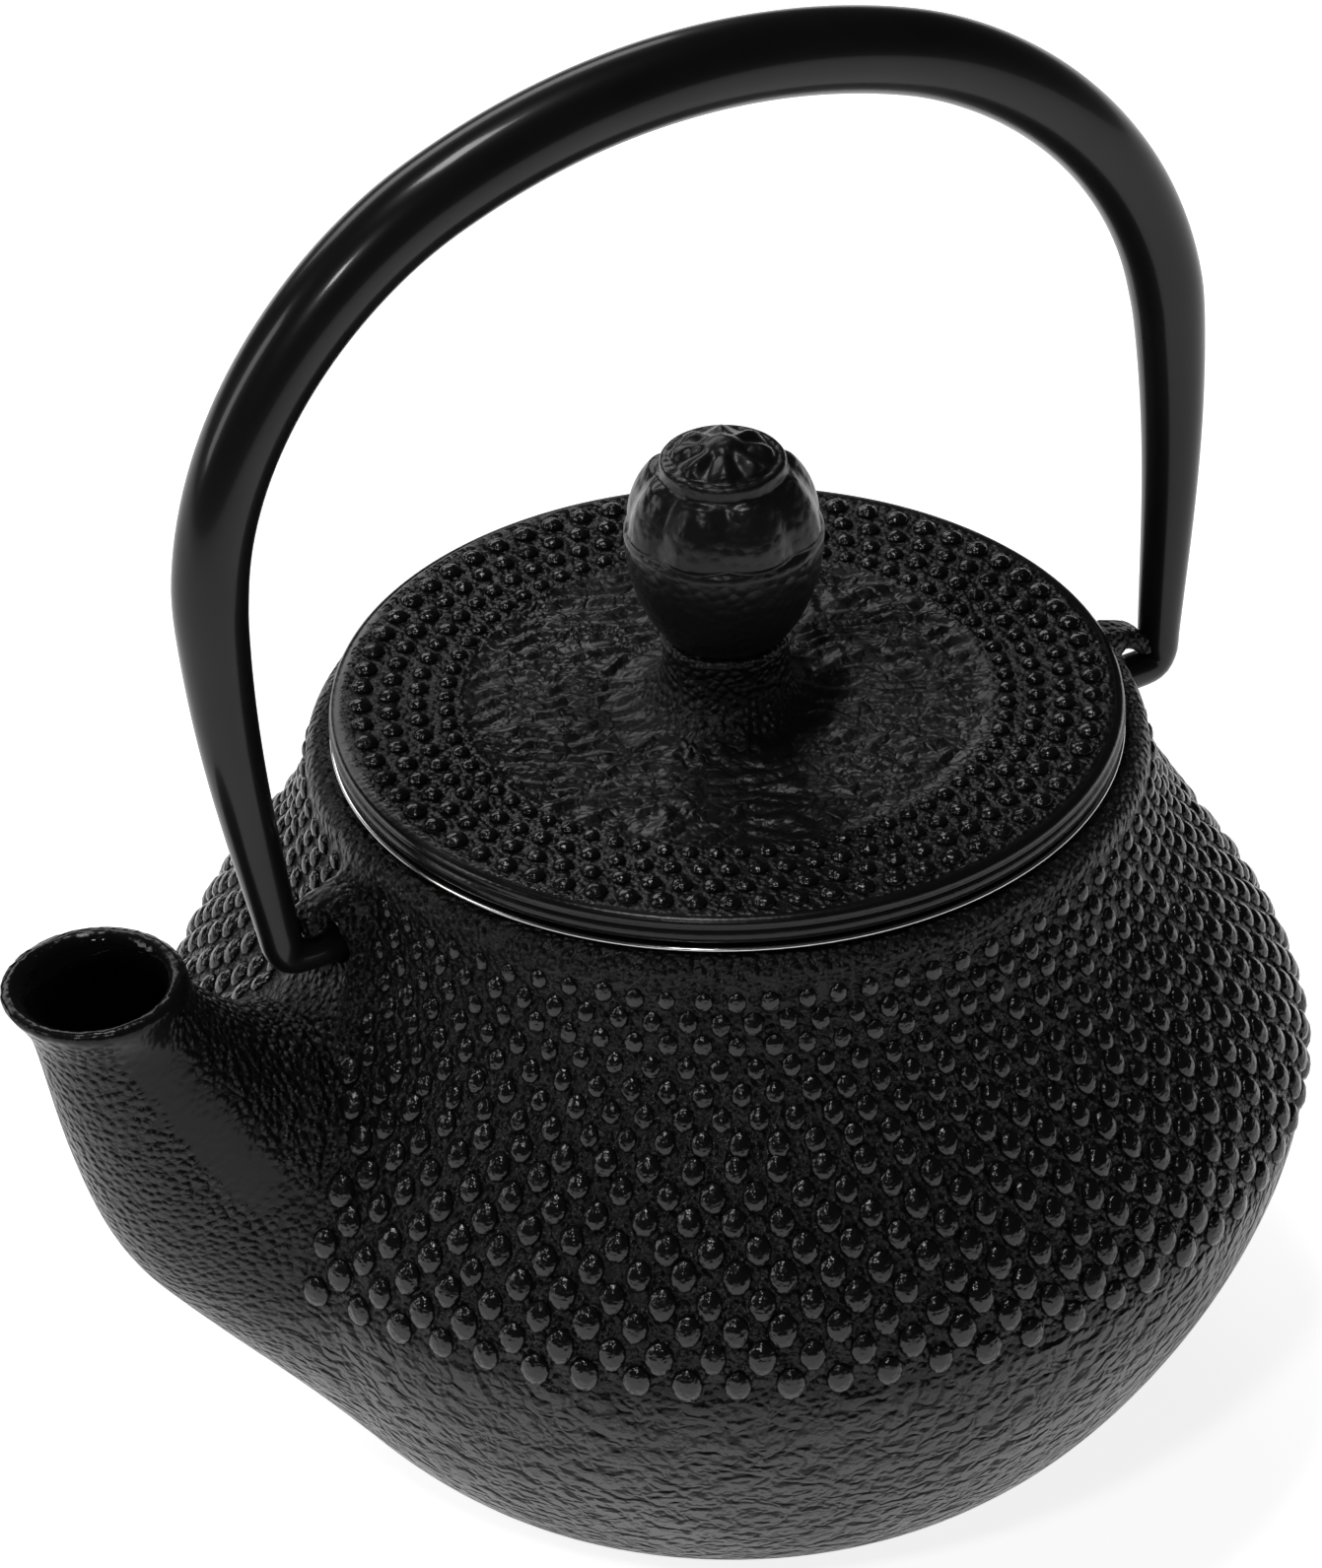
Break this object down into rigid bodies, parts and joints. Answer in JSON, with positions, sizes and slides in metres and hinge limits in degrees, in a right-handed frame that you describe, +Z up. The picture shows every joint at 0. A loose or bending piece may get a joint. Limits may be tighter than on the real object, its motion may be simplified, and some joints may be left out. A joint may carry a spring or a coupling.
{
  "type": "cast iron teapot",
  "caption": "Round cast iron teapot with a studded upper body, flared spout, swinging bail handle, flat lid with a ball knob, and a lift-out steel mesh infuser.",
  "frame": {"origin": "middle of the flat underside of the pot, where it rests on a table", "axes": "+Z up along the pot's axis, the spout points along -X, the handle's pins lie on a line along X, and +Y is the side that the handle leans towards"},
  "size_m": [0.1613, 0.1348, 0.1744],
  "materials": {
    "cast_iron": "satin black over sand-cast texture, glossy black enamel inside",
    "knob_iron": "satin black, smoother than the pot",
    "handle_paint": "smooth semi-gloss black",
    "infuser_steel": "bright rolled stainless steel",
    "infuser_mesh": "fine perforated stainless sheet",
    "screw_steel": "plain zinc-bright steel"
  },
  "bodies": {
    "pot": {"pot_body": "cast_iron"},
    "handle": {"handle": "handle_paint"},
    "infuser": {"infuser_rim": "infuser_steel", "infuser_wall": "infuser_mesh", "infuser_foot_ring": "infuser_steel", "infuser_floor": "infuser_mesh"},
    "lid": {"lid": "cast_iron", "knob": "knob_iron", "knob_screw": "screw_steel", "knob_washer": "screw_steel"}
  },
  "joints": [
    {"name": "handle_swing", "type": "hinge", "parent": "pot", "child": "handle", "pos_m": [0, 0, 0.077], "axis": [1, 0, 0], "range_deg": [-93, 107]},
    {"name": "infuser_lift", "type": "slide", "parent": "pot", "child": "infuser", "axis": [0, 0, 1], "range_m": [0, 0.034]},
    {"name": "lid_lift", "type": "slide", "parent": "infuser", "child": "lid", "axis": [0, 0, 1], "range_m": [0, 0.034]}
  ]
}
